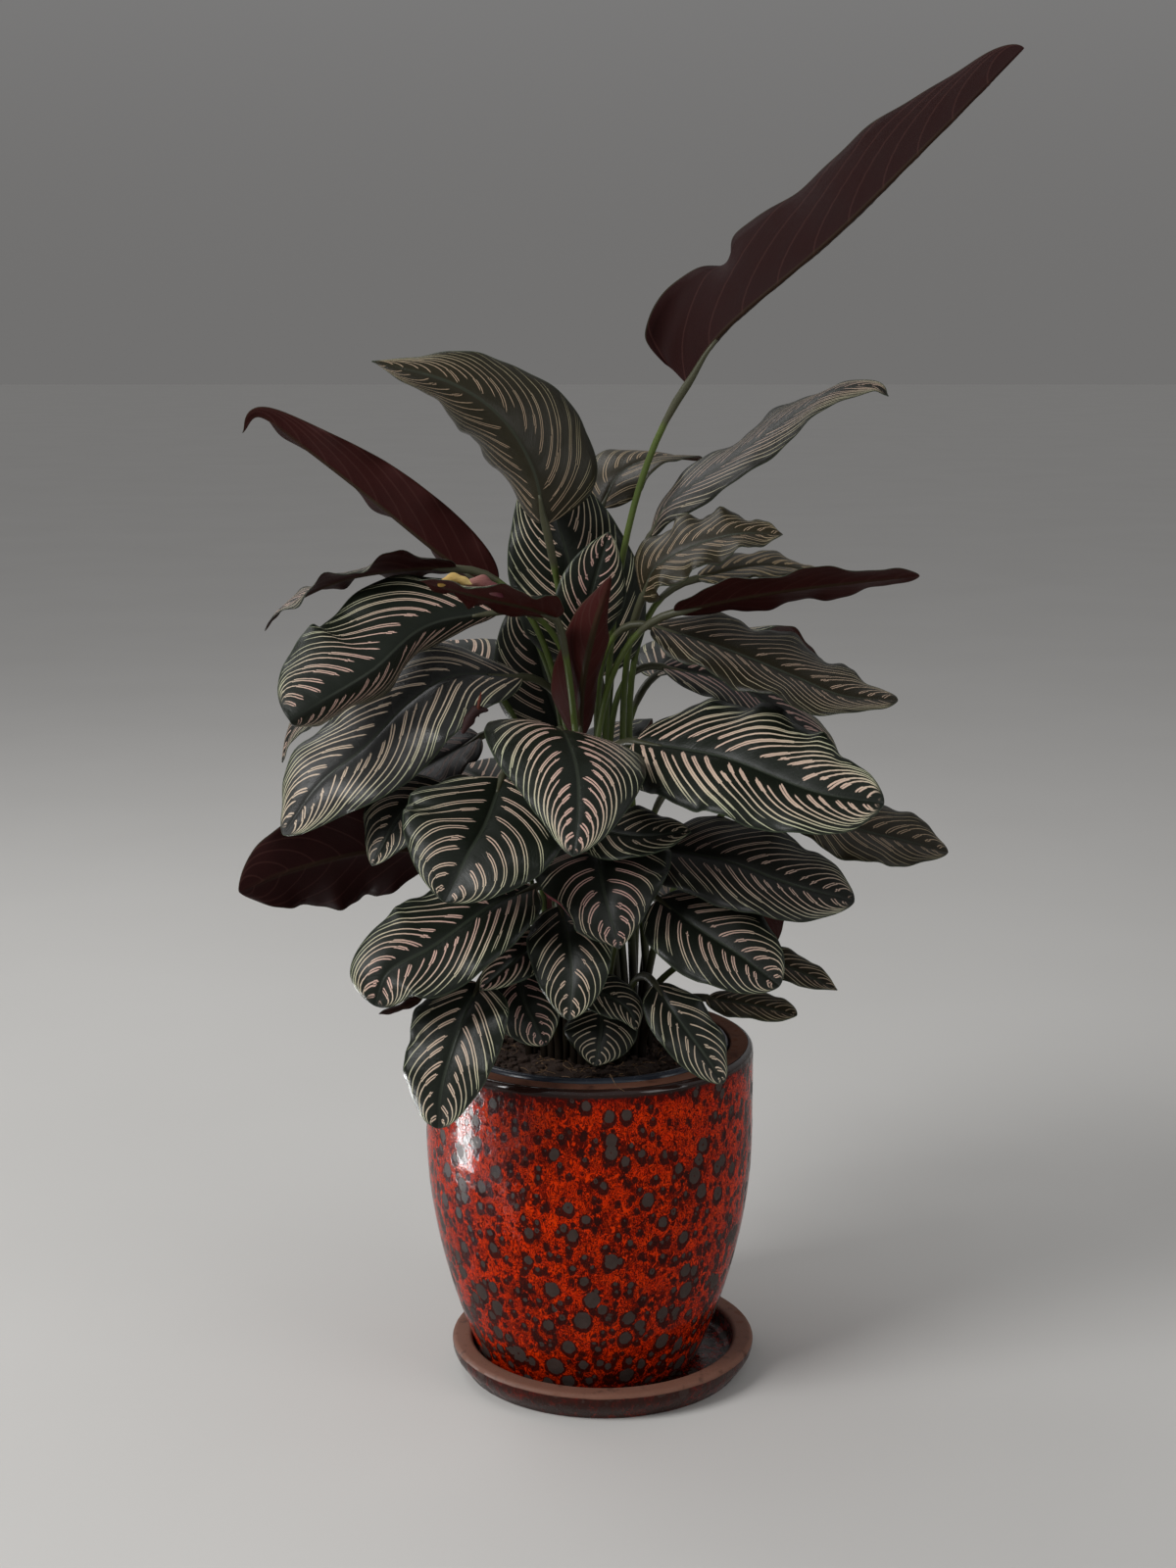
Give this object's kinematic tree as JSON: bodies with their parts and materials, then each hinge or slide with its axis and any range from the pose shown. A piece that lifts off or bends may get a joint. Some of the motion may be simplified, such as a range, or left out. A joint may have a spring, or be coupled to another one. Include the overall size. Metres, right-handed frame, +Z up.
{
  "type": "potted pinstripe calathea",
  "caption": "Pinstripe prayer plant with striped and purple-backed leaves in a round red glazed pot, standing on its matching saucer.",
  "frame": {"origin": "middle of the saucer's underside, on the surface the saucer stands on", "axes": "+Z up; the plant's best side looks along -Y; +X is to the right seen from there"},
  "size_m": [0.5236, 0.4368, 0.9384],
  "materials": {
    "leaf": "satin green leaf with pale stripes above and maroon beneath",
    "pot_glaze": "glossy red-orange reactive glaze with dark spots, bare clay rim",
    "saucer_glaze": "glossy dark red glaze, bare clay rim",
    "nursery_plastic": "blue-black moulded plastic",
    "soil": "crumbly potting soil with bark and fibres"
  },
  "bodies": {
    "root": {"leaf_back_high": "leaf", "leaf_back_high_left": "leaf", "leaf_back_high_right": "leaf", "leaf_back_low": "leaf", "leaf_back_low_left": "leaf", "leaf_back_low_right": "leaf", "leaf_back_mid": "leaf", "leaf_back_mid_left": "leaf", "leaf_back_mid_right": "leaf", "leaf_crown_back": "leaf", "leaf_crown_left": "leaf", "leaf_crown_rear": "leaf", "leaf_crown_right": "leaf", "leaf_crown_small": "leaf", "leaf_curl_left": "leaf", "leaf_dusk_left": "leaf", "leaf_dusk_low_left": "leaf", "leaf_front_centre": "leaf", "leaf_front_drop": "leaf", "leaf_front_leaflet": "leaf", "leaf_front_left": "leaf", "leaf_front_peep": "leaf", "leaf_front_pink": "leaf", "leaf_front_right": "leaf", "leaf_left_broad": "leaf", "leaf_left_drape": "leaf", "leaf_left_skirt": "leaf", "leaf_left_sliver": "leaf", "leaf_low_reach_left": "leaf", "leaf_low_tip_left": "leaf", "leaf_peep_left": "leaf", "leaf_reach_left": "leaf", "leaf_right_behind": "leaf", "leaf_right_blade": "leaf", "leaf_right_dusk": "leaf", "leaf_right_fan": "leaf", "leaf_right_hidden": "leaf", "leaf_right_low": "leaf", "leaf_right_shelf": "leaf", "leaf_right_skirt": "leaf", "leaf_right_small": "leaf", "leaf_right_wing": "leaf", "leaf_rim_left": "leaf", "leaf_rim_right": "leaf", "leaf_soil_curl": "leaf", "leaf_soil_front": "leaf", "leaf_spear": "leaf", "leaf_stem_shade": "leaf", "leaf_tall": "leaf", "leaf_under_right": "leaf", "nursery_pot": "nursery_plastic", "pot": "pot_glaze", "saucer": "saucer_glaze", "soil": "soil"}
  },
  "joints": []
}
